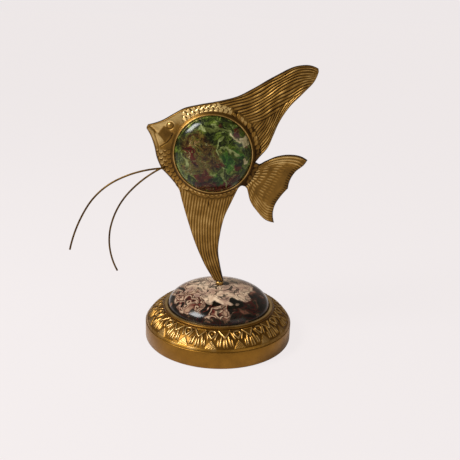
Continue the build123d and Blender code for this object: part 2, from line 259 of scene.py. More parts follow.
fish_brass = antiqued_brass("fish_cast_brass_antiqued", "#2A1908", "#87642C", "#F0D08C", 0.28, 0.5, 0.1)
base_brass = antiqued_brass("base_cast_brass_antiqued", "#3A2209", "#865F22", "#EACD92", 0.3, 0.48, 0.07)
print("brass:", fish_brass.name, base_brass.name)

# %% [markdown]
# ## The fish's outline
# The fish is drawn as its founder would draw it, in bearings round the stone and reaches beyond the ring that
# holds it. A bearing of 0 points at the tail and 90 straight up. The stem's points are shares of its height and
# distances in front of the stud's axis. Smooth edges run through a few points each.

# %% The fish's outline
CROWN_AND_DORSAL_LEAD = [(157.9, 17.9), (150.3, 12.1), (134.7, 7.9), (125.5, 6.9), (107.5, 4.9), (82.1, 6.7),
                         (68.9, 11.8), (60.3, 20.6), (53.6, 33.9), (47.5, 49.2), (44.4, 53.8), (41.0, 56.5)]
DORSAL_TRAIL = [(40.0, 55.7), (37.7, 50.7), (35.9, 41.2), (32.9, 27.9), (26.0, 17.8), (17.7, 12.3), (6.9, 7.5),
                (-2.4, 3.0), (-10.2, 0.7)]
TAIL_TOP = [(-10.2, 0.7), (-11.8, 2.6), (-6.5, 7.2), (-1.3, 13.2), (0.8, 20.9), (-0.4, 29.8), (-2.3, 33.5)]
TAIL_REAR_UPPER = [(-2.3, 33.5), (-5.2, 32.0), (-11.5, 27.1), (-17.9, 25.7), (-23.8, 26.7)]
TAIL_REAR_LOWER = [(-23.8, 26.7), (-31.6, 25.3), (-38.4, 25.9), (-43.6, 28.7), (-47.5, 34.3)]
TAIL_BELLY = [(-47.5, 34.3), (-50.2, 30.4), (-51.8, 20.6), (-51.0, 12.5), (-47.4, 7.5), (-45.1, 5.0)]
TAIL_NOTCH = [(-45.1, 5.0), (-46.5, 1.4), (-53.9, 1.4)]
STEM_TOP_FRONT = [(-131.7, 5.6), (-143.2, 5.0), (-160.5, 7.7)]
THROAT_AND_CHIN = [(-160.5, 7.7), (-172.6, 9.2), (173.9, 11.1), (165.1, 14.7), (160.9, 18.2)]
STEM_BACK = [(0.646, -6.6), (0.521, -2.1), (0.377, 0.5), (0.248, 1.4), (0.134, -0.1), (0.0, -3.0)]
STEM_FRONT = [(0.0, 3.2), (0.097, 8.6), (0.29, 16.4), (0.479, 22.0), (0.664, 26.7)]
tail_top_bearing, tail_low_bearing, stem_back_bearing = TAIL_TOP[0][0], TAIL_NOTCH[0][0], TAIL_NOTCH[-1][0]
stem_h = stone_z - foot_z
edge_points = 240


def around(bearing, reach):
    """A point of the outline from its bearing and reach, measured from the stone's centre."""
    distance = ring_r + reach
    return (distance * cos(radians(bearing)), distance * sin(radians(bearing)))


def on_stem(share, ahead):
    """A point of the stem from its share of the height and its distance in front of the stud's axis."""
    return (-stone_x - ahead, (share - 1) * stem_h)


def smooth_edge(points):
    """Evenly spread points on a smooth curve through a few given ones."""
    p = np.array(points, float)
    s = np.append(0, np.cumsum(np.linalg.norm(np.diff(p, axis=0), axis=1)))
    slope = np.gradient(p, s, axis=0, edge_order=2)
    at = np.linspace(0, s[-1], edge_points)
    i = np.clip(np.searchsorted(s, at, "right") - 1, 0, len(s) - 2)
    step = (s[i + 1] - s[i])[:, None]
    k = (at - s[i])[:, None] / step
    ends = (1 + 2 * k) * (1 - k) ** 2 * p[i] + k * k * (3 - 2 * k) * p[i + 1]
    return ends + step * (k * (1 - k) ** 2 * slope[i] + k * k * (k - 1) * slope[i + 1])


def edge(points):
    """A smooth edge through a list of bearings and reaches."""
    return smooth_edge([around(*point) for point in points])


crown = edge(CROWN_AND_DORSAL_LEAD)
dorsal_trail = edge(DORSAL_TRAIL)
tail_top = edge(TAIL_TOP)
tail_rear = np.concatenate([edge(TAIL_REAR_UPPER), edge(TAIL_REAR_LOWER)[1:]])
tail_belly = edge(TAIL_BELLY)
tail_notch = edge(TAIL_NOTCH)
stem_back = smooth_edge([around(*TAIL_NOTCH[-1])] + [on_stem(*point) for point in STEM_BACK])
stem_top_front = [around(*point) for point in STEM_TOP_FRONT]
stem_front = smooth_edge([on_stem(*point) for point in STEM_FRONT] + stem_top_front)
chin = edge(THROAT_AND_CHIN)
outline = np.concatenate(
    [crown, dorsal_trail, tail_top, tail_rear, tail_belly, tail_notch, stem_back, stem_front, chin]
)
print("outline:", len(outline), "points, from", outline.min(0).round(1), "to", outline.max(0).round(1))

# %% [markdown]
# ## Carved sheets
# A carved fin is a grid that is bent to the fin's edges, raised into relief on one face and mirrored to the
# other. The relief falls to the middle plane along every edge, in a quarter round, so that the mirrored half
# closes the shell. The grid lines run along the fin, which lets the rays follow it.

# %% Carved sheets
root_r = girdle_r + 1.6
edge_round = 0.9
fin_half, tail_half = 2.2, 1.95


def share_of(curve, share):
    """Points at given shares of a curve's length."""
    steps = np.linalg.norm(np.diff(curve, axis=0), axis=1)
    along = np.append(0, np.cumsum(steps)) / steps.sum()
    return np.stack([np.interp(share, along, curve[:, k]) for k in (0, 1)], axis=-1)


def ring_arc(start, end, radius, count=edge_points):
    """An arc round the stone's centre between two bearings."""
    bearing = np.radians(np.linspace(start, end, count))
    return radius * np.stack([np.cos(bearing), np.sin(bearing)], axis=-1)


def sunken_root(lead, end_bearing, sunk_share):
    """A fin's root under the band: it leaves the fin's leading edge and sinks to the root's radius."""
    root = ring_arc(np.degrees(np.arctan2(lead[0][1], lead[0][0])), end_bearing, 1.0)
    sink = 1 - smooth_step(0, sunk_share, np.linspace(0, 1, len(root)))
    return root * (root_r + (np.linalg.norm(lead[0]) - root_r) * sink)[:, None]


def grid_sheet(columns, rows):
    """A grid, with each vertex's place across it and along it from 0 to 1."""
    bm = bmesh.new()
    bmesh.ops.create_grid(bm, x_segments=columns, y_segments=rows, size=0.5)
    places = np.array([v.co for v in bm.verts]) + 0.5
    return bm, places[:, 0], places[:, 1]


def bent_to(root, tip, front, back, across, along):
    """Bends a grid to four edges. Root and tip run from the front edge to the back edge."""
    u, t = across[:, None], along[:, None]
    sides = (1 - u) * share_of(front, along) + u * share_of(back, along)
    ends = (1 - t) * share_of(root, across) + t * share_of(tip, across)
    corners = (1 - t) * ((1 - u) * root[0] + u * root[-1]) + t * ((1 - u) * tip[0] + u * tip[-1])
    return sides + ends - corners


def fin_width(front, back, along):
    """The fin's width at given shares of its length."""
    return np.linalg.norm(share_of(back, along) - share_of(front, along), axis=1)


def edge_depth(root, tip, front, back, across, along):
    """How far in from a fin's nearest edge each place lies."""
    width = fin_width(front, back, along)
    length = fin_width(root, tip, across)
    return np.minimum(np.minimum(across, 1 - across) * width, np.minimum(along, 1 - along) * length)


def quarter_round(depth):
    """How high an edge has risen, from 0 to 1, at a depth in from it."""
    inside = np.clip(depth / edge_round, 0, 1)
    return np.sqrt(1 - (1 - inside) ** 2)


def ridges(phase, sharpness=0.8):
    """Ridge heights from 0 to 1, one ridge for each whole number of the phase."""
    return (0.5 + 0.5 * np.cos(tau * phase)) ** sharpness


def raise_relief(bm, flat, height, wear_and_painted_light):
    """Lifts a sheet off the middle plane and mirrors it, so that both faces are carved and the shell closes."""
    for v, (x, z), lift in zip(bm.verts, flat, height):
        v.co = (x + stone_x, -lift, z + stone_z)
    store_wear_and_painted_light(bm, wear_and_painted_light)
    bmesh.ops.mirror(bm, geom=bm.verts[:] + bm.edges[:] + bm.faces[:], axis="Y", merge_dist=0.002)
    bmesh.ops.remove_doubles(bm, verts=bm.verts, dist=0.002)
    bmesh.ops.recalc_face_normals(bm, faces=bm.faces)


def join_into(target, source):
    """Adds one bmesh's shell to another."""
    spare = bpy.data.meshes.new("spare")
    source.to_mesh(spare)
    source.free()
    target.from_mesh(spare)
    bpy.data.meshes.remove(spare)


print("carved sheets start at radius", round(root_r, 2))

# %% [markdown]
# ## Dorsal fin
# The rays leave the scaled band, swing upwards and run out along the fin. Those near the trailing edge run
# into it, so a seam crosses the fin: above it the rays follow the leading edge, below it the trailing one. A
# slow wave in the rays' spacing and height keeps them from looking ruled.

# %% Dorsal fin
crown_end = 93
crown_bearing = np.degrees(np.arctan2(crown[:, 1], crown[:, 0]))
dorsal_lead = crown[crown_bearing < crown_end]
dorsal_tip = np.array([crown[-1], dorsal_trail[0]])
dorsal_back = np.concatenate([dorsal_trail, ring_arc(tail_top_bearing, tail_top_bearing, root_r, 1)])[::-1]
dorsal_root = sunken_root(dorsal_lead, tail_top_bearing, 0.25)
dorsal_edges = dorsal_root, dorsal_tip, dorsal_lead, dorsal_back
dorsal, u, t = grid_sheet(150, 86)
flat = bent_to(*dorsal_edges, u, t)
depth = edge_depth(*dorsal_edges, u, t)
width = fin_width(dorsal_lead, dorsal_back, t)
behind_lead = u * width
wander = 0.22 * np.sin(7 * t + 9 * u) + 0.12 * np.sin(19 * t - 11 * u)
long_ray = ridges((behind_lead + 0.5) / (1.95 - 0.5 * t) + wander, 1.3)
short_ray = ridges((width - behind_lead) / (1.8 - 0.3 * t) - wander, 1.3)
below_seam = smooth_step(-0.03, 0.03, u - 0.45 - 0.6 * t)
ray = long_ray + (short_ray - long_ray) * below_seam
ray *= 0.8 + 0.2 * np.sin(11 * t + 37 * u) * np.sin(23 * t - 17 * u)
clear = smooth_step(0.4, 1.3, depth)
ray_depth = 0.45 * clear * (1 - 0.5 * smooth_step(0.85, 1.0, t))
height = (fin_half - 0.2 * t - (1 - ray) * ray_depth) * quarter_round(depth)
# Painted shade: the brass is darkened along the fin's rounded edge.
edge_shade = 1 - smooth_step(0.2, 1.2, depth)
wear_and_painted_light = 0.27 + 0.15 * smooth_step(0.6, 1.0, t) + 0.7 * (ray - 0.4) * clear - 0.4 * edge_shade
raise_relief(dorsal, flat, height, wear_and_painted_light)
print("dorsal fin:", len(dorsal.verts), "vertices")

# %% [markdown]
# ## Tail fin
# The tail has no long rays. Short strokes fan out from the root, three more rows of strokes cross the blade,
# a few lines follow its top and its low edge, and a fringe of fine nicks runs along the rear edge.

# %% Tail fin
# Rows of strokes: share of the way out, half length, strokes from edge to edge, and strength
STROKE_ROWS = [(0.14, 0.12, 11, 1.0), (0.36, 0.10, 16, 0.7), (0.60, 0.09, 22, 0.6), (0.74, 0.06, 24, 0.4)]
tail_front = np.concatenate([ring_arc(tail_top_bearing, tail_top_bearing, root_r, 1), tail_top])
tail_back = np.concatenate([tail_belly, ring_arc(tail_low_bearing, tail_low_bearing, root_r, 1)])[::-1]
tail_root = ring_arc(tail_top_bearing, tail_low_bearing, root_r)
tail_edges = tail_root, tail_rear, tail_front, tail_back
tail, u, t = grid_sheet(96, 60)
flat = bent_to(*tail_edges, u, t)
depth = edge_depth(*tail_edges, u, t)
width = fin_width(tail_front, tail_back, t)
below_top = u * width
strokes = np.zeros_like(u)
for middle, half_length, count, strength in STROKE_ROWS:
    ragged = 0.03 * np.sin(9 * u + 5 * middle) + 0.012 * np.sin(31 * u)
    reach = 1 - smooth_step(0.4, 1.0, np.abs(t + ragged - middle) / half_length)
    strokes = np.maximum(strokes, strength * reach * ridges(count * u + 0.8 * t, 1.2))
strokes *= smooth_step(2.0, 5.0, below_top)
low_lines = 0.6 * ridges((width - below_top) / 1.7) * smooth_step(0.72, 0.8, u) * smooth_step(0.4, 0.55, t)
near_top = (1 - smooth_step(5.0, 8.5, below_top)) * smooth_step(0.2, 0.4, t)
top_lines = 0.8 * ridges(below_top / 2.1 + 0.4) * near_top
strokes = np.maximum.reduce([strokes, low_lines, top_lines])
nicks = smooth_step(0.88, 0.93, t) * ridges(30 * u, 1.5)
clear = smooth_step(0.2, 1.2, depth)
height = (tail_half - 0.2 * t + (0.3 * strokes - 0.2 * nicks) * clear) * quarter_round(depth)
# Painted shade: the brass is darkened along the tail's rounded edge.
edge_shade = 1 - smooth_step(0.2, 1.0, depth)
wear_and_painted_light = 0.42 + 0.5 * (strokes - 0.2) - 0.4 * nicks - 0.4 * edge_shade
raise_relief(tail, flat, height, wear_and_painted_light)
print("tail fin:", len(tail.verts), "vertices")

# %% [markdown]
# ## Stem
# The long lower fin is the stem that carries the fish. A scalloped line is cut under the ring, and fine lines
# run down from it to the foot. One short cut stands alone below the stone.

# %% Stem
throat_end = 360 - 140
line_pitch = 1.8
line_rest = 0.55
cut_place = (-1.8, -33.5)
front_bearing = np.degrees(np.arctan2(stem_front[:, 1], stem_front[:, 0])) % 360
stem_lead = stem_front[front_bearing > throat_end][::-1]
stem_trail = np.concatenate([ring_arc(stem_back_bearing, stem_back_bearing, root_r, 1), stem_back])
stem_root = sunken_root(stem_lead, stem_back_bearing, 0.3)
stem_foot = np.array([stem_front[0], stem_back[-1]])
stem, u, t = grid_sheet(160, 92)
flat = bent_to(stem_root, stem_foot, stem_lead, stem_trail, u, t)
width = fin_width(stem_lead, stem_trail, t)
behind_front = u * width
sides = np.minimum(behind_front, width - behind_front)
length = np.linalg.norm(stem_foot.mean(0) - stem_root.mean(0))
depth = np.minimum(sides, np.minimum(t * length, (1 - t) * length * 4))
past_stem_ring = np.hypot(flat[:, 0], flat[:, 1]) - ring_r
stem_bearing = np.arctan2(flat[:, 1], flat[:, 0])
scallop_at = 1.9 + 0.9 * np.abs(np.sin(21 * stem_bearing))
scallops = np.exp(-(((past_stem_ring - scallop_at) / 0.4) ** 2))
lines = ridges((behind_front - 0.6 * width) / (line_pitch - 0.2 * t))
lines = line_rest + (lines - line_rest) * smooth_step(2.8, 3.8, past_stem_ring)
from_cut = np.hypot(flat[:, 0] - cut_place[0], (flat[:, 1] - cut_place[1]) / 2.2)
mark = np.exp(-((from_cut / 0.5) ** 2))
clear = smooth_step(0.2, 1.1, sides)
carving = 0.22 * clear * (1 - lines) + 0.4 * mark + 0.25 * scallops
height = (fin_half - carving) * quarter_round(depth)
wear_and_painted_light = 0.4 - 0.1 * smooth_step(0.35, 0.8, t) + 0.45 * (lines - line_rest) * clear
# The last term is painted shade along the stem's rounded sides.
wear_and_painted_light -= 0.4 * mark + 0.3 * scallops + 0.36 * (1 - smooth_step(0.2, 1.0, sides))
raise_relief(stem, flat, height, wear_and_painted_light)
print("stem:", len(stem.verts), "vertices")

# %% [markdown]
# ## Head and scaled band
# The rest of the casting is a ring round the stone. It widens into the head in front, and stops in a scalloped
# rim over the fins. Its grid is polar: each spoke runs from the bore to the outline or to the rim, whichever
# comes first.

# %% Head and scaled band
HEAD_BEARINGS = (84.0, 228.0)
BAND_REACH = [(0, 3.4), (30, 3.9), (84, 4.6), (228, 4.6), (242, 1.3), (300, 0.9), (310, 1.4), (318, 3.2),
              (360, 3.4)]
SCALES_FROM_MOUTH = [(0, 0), (80, 13), (180, 30)]
mouth_bearing = 158.0
bore_r = girdle_r + 0.95
spoke_count, rows = 440, 34
FAR = 1e9


def first_crossing(bearing):
    """Distance from the stone's centre to the outline along each bearing."""
    spoke = np.stack([np.cos(bearing), np.sin(bearing)], axis=-1)[:, None, :]
    a, b = outline[None, :, :], np.roll(outline, -1, axis=0)[None, :, :]
    side_a = spoke[..., 0] * a[..., 1] - spoke[..., 1] * a[..., 0]
    side_b = spoke[..., 0] * b[..., 1] - spoke[..., 1] * b[..., 0]
    crosses = (side_a * side_b <= 0) & (np.abs(side_a - side_b) > 1e-9)
    k = np.where(crosses, side_a / np.where(crosses, side_a - side_b, 1.0), 0.0)
    reach = ((a + k[..., None] * (b - a)) * spoke).sum(-1)
    return np.where(crosses & (reach > 1.0), reach, FAR).min(1)


body, u, t = grid_sheet(spoke_count, rows)
bearing = tau * u
degrees_round = np.degrees(bearing)
in_head = (degrees_round > HEAD_BEARINGS[0]) & (degrees_round < HEAD_BEARINGS[1])
from_mouth = np.abs((degrees_round - mouth_bearing + 180) % 360 - 180)
scale_count = np.interp(from_mouth, *zip(*SCALES_FROM_MOUTH))
scallop = 0.5 * np.abs(np.sin(pi * scale_count))
rim = np.where(in_head, FAR, ring_r + np.interp(degrees_round, *zip(*BAND_REACH)) + scallop)
turns = np.linspace(0, 1, spoke_count + 1)
outer = np.minimum(rim, np.interp(u, turns, first_crossing(tau * turns)))
rise = np.clip((t - 1 / rows) / (1 - 1 / rows), 0, 1)
radius = bore_r + (outer - bore_r) * (1 - (1 - rise) ** 1.3)
x, z = radius * np.cos(bearing), radius * np.sin(bearing)
past_ring = radius - ring_r
depth = outer - radius
print("head and band:", len(body.verts), "vertices")

# %% [markdown]
# ## Scales and beads
# Rows of scales ring the stone and cover the crown and the throat. They point away from the mouth, and each
# rises to a round free edge. Over the tail and the dorsal fin they give way to one row of slanting beads.

# %% Scales and beads
row_h = 2.5
crown_face_end, throat_face_end = 23.0, 17.0


def between(start, full, fading, end):
    """1 between two bearings, with a soft start and a soft end."""
    return smooth_step(start, full, degrees_round) * (1 - smooth_step(fading, end, degrees_round))


row = np.floor(past_ring / row_h)
q = past_ring / row_h - row - 0.5
behind_edge = (scale_count + 0.5 * (row % 2) + 0.9 * q**2) % 1.0
scale = behind_edge * (1 - smooth_step(0.82, 1.0, behind_edge))
gap = smooth_step(0.8, 0.95, behind_edge) + 1 - smooth_step(0.0, 0.16, behind_edge)
face_end = crown_face_end + 1.2 * np.maximum(past_ring - 1.0, 0)
face_end = np.where((degrees_round > mouth_bearing), throat_face_end, face_end)
plain_rim = smooth_step(0.8, 1.4, depth)
two_rows = 1 - smooth_step(2 * row_h - 0.2, 2 * row_h + 0.2, past_ring)
scaled = smooth_step(face_end, face_end + 3, from_mouth) * smooth_step(-0.2, 0.3, past_ring)
scaled *= 1 - 0.2 * smooth_step(160, 175, degrees_round) - 0.3 * smooth_step(200, 225, degrees_round)
scaled *= np.where(in_head, plain_rim, two_rows)

which, along_bead = np.floor(scale_count), scale_count % 1.0
off_bead = past_ring - 1.6 - 0.35 * np.sin(2.4 * which)
bead_half = 1.4 + 0.35 * np.sin(3.7 * which)
from_bead = np.hypot((along_bead - 0.5 + 0.2 * off_bead) / 0.5, off_bead / bead_half)
bead_dome = np.sqrt(np.clip(1 - from_bead**2, 0, 1)) * (1 - 0.6 * smooth_step(0.55, 0.95, along_bead))
beaded = 1 - smooth_step(62, 72, degrees_round) + smooth_step(306, 316, degrees_round)
scale = scale + (bead_dome - scale) * beaded
gap = gap + (smooth_step(0.9, 1.1, from_bead) - gap) * beaded
print("scales round the stone:", round(2 * scale_count.max()))

# %% [markdown]
# ## Face
# The face has a round eye in a socket, a sunk cheek, a gill line, a mouth, a line along the chin and the hole
# that the feelers leave. Each is a number from 0 to 1 at every vertex, so that relief and rubbing can share it.

# %% Face
# Places in millimetres from the stone's centre
EYE = (-27.3, 17.0)
CHEEK = [(-31.0, 17.0), (-35.0, 11.6), (-30.3, 6.4), (-26.0, 12.4)]
GILL = [(-25.6, 12.3), (-26.6, 9.5), (-29.3, 6.2), (-33.4, 3.6)]
MOUTH = [(-41.5, 17.2), (-37.6, 13.8), (-36.2, 12.4)]
FEELER_HOLE = (-31.0, -9.7)
CHIN_LINE = [(-37.6, 13.8), (-36.6, 9.9), (-34.9, 4.6), (-34.2, -1.5)]


def near_line(points, x, z):
    """Distance of each place from a line through a few points."""
    best = np.full_like(x, FAR)
    for (ax, az), (bx, bz) in zip(points, points[1:]):
        run = (bx - ax) ** 2 + (bz - az) ** 2
        k = np.clip(((x - ax) * (bx - ax) + (z - az) * (bz - az)) / run, 0, 1)
        best = np.minimum(best, np.hypot(x - ax - k * (bx - ax), z - az - k * (bz - az)))
    return best


def inside_of(corners, x, z):
    """Distance of each place inside a shape with corners in anticlockwise order, negative outside it."""
    best = np.full_like(x, FAR)
    for (ax, az), (bx, bz) in zip(corners, corners[1:] + corners[:1]):
        run = np.hypot(bx - ax, bz - az)
        best = np.minimum(best, ((bx - ax) * (z - az) - (bz - az) * (x - ax)) / run)
    return best


def soft(distance, reach, power=2):
    """1 on a mark, fading to 0 past its reach."""
    return np.exp(-((distance / reach) ** power))


eye = np.hypot(x - EYE[0], z - EYE[1])
eye_ring, socket = soft(eye - 2.9, 0.45), soft(eye - 2.0, 0.45)
eye_ball = np.sqrt(np.clip(1 - (eye / 1.5) ** 2, 0, 1))
cheek = smooth_step(-0.25, 0.25, inside_of(CHEEK, x, z))
gill = soft(near_line(GILL, x, z), 0.4)
mouth = soft(near_line(MOUTH, x, z), 0.36)
chin_line = soft(near_line(CHIN_LINE, x, z), 0.35)
feeler_hole = soft(np.hypot(x - FEELER_HOLE[0], z - FEELER_HOLE[1]), 0.75, 4)
print("face: marks on", int((eye_ring + socket + cheek + gill + mouth + chin_line > 0.5).sum()), "vertices")

# %% [markdown]
# ## Relief, rubbing and painted light of the head
# The band slopes down from the stone to its rim, and the face slopes further out. The marks are raised on it or
# sunk into it. The crown is made brightest, and the throat, the belly, the beads and the lower face darker. A
# painted highlight lies on the brow, and painted shade darkens the brass towards the rounded outline.

# %% Relief, rubbing and painted light of the head
face = between(118, 140, 195, 215)
crowned = between(78, 90, 128, 146)
slope_down = np.clip(past_ring / 4.5, 0, 1) * (1 - face) + smooth_step(-3.0, 11.0, past_ring) * face
relief = (0.5 + 0.35 * crowned) * scaled * (scale - 0.4)
relief += 0.2 * eye_ring + 0.3 * eye_ball - 0.35 * socket
relief -= 0.3 * feeler_hole + 0.12 * cheek + 0.45 * gill + 0.5 * mouth + 0.2 * chin_line
height = band_top - (band_top - fin_half) * slope_down + relief * smooth_step(0.1, 0.7, depth)
height *= quarter_round(depth) * np.where(t < 0.5 / rows, 0.0, 1.0)

# Painted highlight on the brow, between the eye and the mouth.
brow_highlight = smooth_step(5.0, 8.0, past_ring) * between(138, 146, 154, 158)
beside_tail = beaded * (1 - smooth_step(0, 35, (degrees_round + 90) % 360 - 90))
wear_and_painted_light = 0.54 + 0.3 * smooth_step(1.0, 7.0, past_ring)
wear_and_painted_light += scaled * (1 - 0.65 * beaded) * (0.15 + 0.4 * scale - 0.85 * gap)
wear_and_painted_light += 0.1 * eye_ring - 0.25 * eye_ball - 0.6 * socket
wear_and_painted_light += (0.27 - wear_and_painted_light) * cheek
wear_and_painted_light -= 0.6 * feeler_hole + 0.5 * gill + 0.55 * mouth + 0.3 * chin_line
wear_and_painted_light += crowned * (0.3 - 0.55 * scaled * gap)
wear_and_painted_light -= beaded * (0.22 + 0.12 * np.sin(5.1 * which)) + 0.2 * beside_tail
wear_and_painted_light -= 0.32 * between(165, 185, 190, 250) + 0.08 * between(190, 250, 330, 360)
# Painted highlight on the brow; the lower face and the throat are made darker.
wear_and_painted_light += (0.1 * brow_highlight - 0.14 * between(140, 165, 215, 250)) * (1 - cheek)
wear_and_painted_light -= 0.15 * (1 - smooth_step(0.0, 0.4, past_ring))
# Painted shade: the brass darkens towards the casting's rounded outline.
wear_and_painted_light *= 0.1 + 0.9 * smooth_step(0.3, 1.1 + 0.7 * in_head, depth)
raise_relief(body, np.stack([x, z], axis=-1), height, wear_and_painted_light)
for fin in (dorsal, tail, stem):
    join_into(body, fin)
finish_piece(body, "fish_casting_carved", "fish", fish_brass, "fish_casting")

# %% [markdown]
# ## Green stone
# The stone in the fish is a polished jasper. A noise that is bent by two other noises gives its clouds, and
# each look below is one colour ramp over those clouds. Patches say which look lies where. Thin dark lines
# follow the clouds, pale veins cross them, and a smooth gloss stands for the polish.

# %% Looks and patches of the green stone
# Stops of each colour ramp: low end, high end, then those between
GREEN_STONE_LOOKS = {
    "green": [(0.36, "#0B1005"), (0.70, "#84905A"), (0.43, "#161D09"), (0.48, "#272F10"), (0.54, "#3A4A17"),
              (0.61, "#5A6B28")],
    "brown": [(0.34, "#24160C"), (0.70, "#8A7A50"), (0.42, "#462E17"), (0.5, "#5A4822"), (0.57, "#4E4C1C"),
              (0.64, "#744A36")],
    "maroon": [(0.36, "#180706"), (0.70, "#6E4A3C"), (0.45, "#340E0B"), (0.54, "#4C1612"), (0.62, "#36180E")],
    "leaf": [(0.36, "#0C200A"), (0.70, "#64883C"), (0.48, "#153610"), (0.58, "#2C571C")],
    "pale": [(0.36, "#39401C"), (0.70, "#A8AC8C"), (0.48, "#5C663C"), (0.58, "#7F8862")],
    "cream": [(0.36, "#4A4530"), (0.70, "#C4BBA4"), (0.46, "#968C72"), (0.56, "#B3A88E")],
}
# What lies where: from and to in millimetres right of the middle and above it, half width, look
PATCHES = [
    ((-11, 6), (-3, -1), 9.0, "brown"), ((-14, -6), (-6, -11), 6.0, "brown"), ((-8, 17), (2, 17.5), 1.5, "pale"),
    ((-16, 4), (-13, 3), 2.4, "maroon"), ((-8.4, -21), (10.7, -20.5), 4.0, "maroon"),
    ((-4.5, -12), (-2, -13.5), 2.6, "maroon"), ((9, -1), (10, -4), 4.6, "leaf"),
    ((15, -7), (17, -8), 1.8, "maroon"), ((9, -17), (14, -14), 2.4, "maroon"), ((4, -13), (4.4, -16), 2.6, "leaf"),
    ((15.5, 3.5), (18, 0.5), 1.7, "leaf"), ((0.4, 21.5), (4.4, 17.5), 0.6, "pale"),
    ((4.4, 17.5), (10.7, 13.8), 0.9, "pale"), ((10.7, 13.8), (17, 10.6), 0.8, "cream"),
    ((5.2, 11), (3.6, 5.6), 0.5, "pale"), ((3.6, 5.6), (4.4, -0.8), 0.5, "pale"),
    ((4.4, -0.8), (6.4, -11), 0.6, "pale"), ((6.4, -11), (9.1, -18), 0.7, "pale"),
    ((5.9, 5.6), (10.7, 4.8), 0.5, "pale"), ((10.7, 4.8), (17, 1.6), 0.6, "pale"),
    ((19.5, -1), (21, -4), 1.0, "cream"), ((-19, -1), (-17, -7), 0.6, "pale"),
    ((-13, -3), (-10, -5), 0.7, "maroon"), ((4.0, 19.8), (5.2, 19.0), 1.1, "maroon"),
    ((14.4, 16.2), (15.2, 14.6), 2.6, "maroon"), ((19.2, 12.3), (20.3, 8.6), 1.9, "cream"),
    ((20.5, 6.8), (21.5, 6.2), 1.0, "maroon"), ((-15, 1), (-12, -1), 1.6, "maroon"),
    ((2, -5.5), (5, -4.5), 1.5, "maroon"), ((-10, -13), (-6, -16), 1.6, "maroon"),
]
print("green stone:", len(GREEN_STONE_LOOKS), "looks,", len(PATCHES), "patches")

# %% Green stone


def warped(tree, place, size_mm, detail, push_mm):
    """Pushes a place about by a noise, which bends whatever is drawn there."""
    push = vectors(tree, "SUBTRACT", noise(tree, place, size_mm, detail)["Color"], (0.5, 0.5, 0.5))
    return vectors(tree, "ADD", place, times(tree, push, push_mm * MM))


def contour(tree, value, level, outside, inside, strength):
    """A thin line where a noise passes a level."""
    off = maths(tree, "ABSOLUTE", maths(tree, "SUBTRACT", value, level))
    return fade(tree, off, outside, inside, 0.0, strength)


def on_patch(tree, place, start, end, reach):
    """How far a place lies on a patch round a line: 0.9 in its middle and 0 past its edge."""
    step = Vector((end[0] - start[0], 0, end[1] - start[1]))
    from_start = vectors(tree, "SUBTRACT", place, (start[0] * MM, 0, start[1] * MM))
    share = vectors(tree, "DOT_PRODUCT", from_start, step / step.length_squared / MM, "Value")
    nearest = times(tree, step * MM, add(tree, "Clamp", {0: share}).outputs[0])
    off = vectors(tree, "DISTANCE", from_start, nearest, "Value")
    return fade(tree, off, 1.15 * reach * MM, 0.8 * reach * MM, 0.0, 0.9)


def polished(tree, colour):
    """Ends a stone's tree in a smooth gloss."""
    gloss = {"Base Color": colour, "Roughness": 0.17, "IOR": 1.54, "Specular IOR Level": 0.18}
    end_in(tree, "BsdfPrincipled", gloss)


def green_stone_material():
    """Polished green and maroon jasper: cloudy greens, brown swirls, thin cream veins, a glossy polish."""
    material, tree = new_material("green_jasper_polished")
    place = add(tree, "TexCoord").outputs["Object"]
    to_middle = (-stone_x * MM, 0, -stone_z * MM)
    centred = add(tree, "Mapping", {"Vector": place, "Location": to_middle}).outputs[0]
    swirl_mm, ripple_mm, cloud_mm, line_mm = 9.0, 2.6, 6.0, 11.0
    bent = warped(tree, centred, swirl_mm, 4.0, 9)
    bent = warped(tree, bent, ripple_mm, 3.0, 3.4)
    flat = vectors(tree, "MULTIPLY", bent, (1, 0, 1))
    cloud = noise(tree, bent, cloud_mm, 7.0, Roughness=0.58, Distortion=1.0)[0]
    looks = {name: ramp(tree, cloud, stops) for name, stops in GREEN_STONE_LOOKS.items()}
    lines = noise(tree, bent, line_mm, 2.0, Distortion=1.2)[0]
    lines = maths(tree, "SINE", maths(tree, "MULTIPLY", lines, 130.0))
    lines = fade(tree, lines, -0.1, 0.5, 0.0, 0.88)
    faint = maths(tree, "MULTIPLY", lines, 0.72)
    looks["brown"] = blend(tree, lines, looks["brown"], linear("#0E0A06"))
    colour = blend(tree, faint, looks["green"], linear("#0B1006"))
    for start, end, reach, look in PATCHES:
        colour = blend(tree, on_patch(tree, flat, start, end, reach), colour, looks[look])
    veins = noise(tree, bent, line_mm, 5.0, Distortion=2.2)[0]
    colour = blend(tree, contour(tree, veins, 0.5, 0.011, 0.004, 0.75), colour, looks["pale"])
    colour = blend(tree, 1.0, colour, linear("#F3EFD8"), blend_type="MULTIPLY")
    polished(tree, colour)
    return material


green_stone = green_stone_material()
print("stone:", green_stone.name)

# %% [markdown]
# ## Body stones and bezels
# A cabochon has an upright girdle, a small bevel where the bezel's lip closes over it, and a dome that rises
# steeply and flattens towards the top. Its profile is a superellipse, spun round the stone's axis and turned
# to face the front. The rear stone and its bezel are the same, turned the other way.

# %% Body stones and bezels
lip_r = girdle_r - 0.3
dome_foot = 4.4
dome_top = -stone_low.y
stone_back = -stone_high.y
dome_points = 28
dome_power = 2.35
lip_top = -bezel_low.y
lip_wear, foot_wear = 0.58, 0.19


def facing(bm, side):
    """Turns a piece that was spun about Z to face the front, or the rear, at the stone's place."""
    bmesh.ops.rotate(bm, cent=(0, 0, 0), matrix=Matrix.Rotation(side * pi / 2, 3, "X"), verts=bm.verts)
    bmesh.ops.translate(bm, vec=(stone_x, 0, stone_z), verts=bm.verts)
    return bm


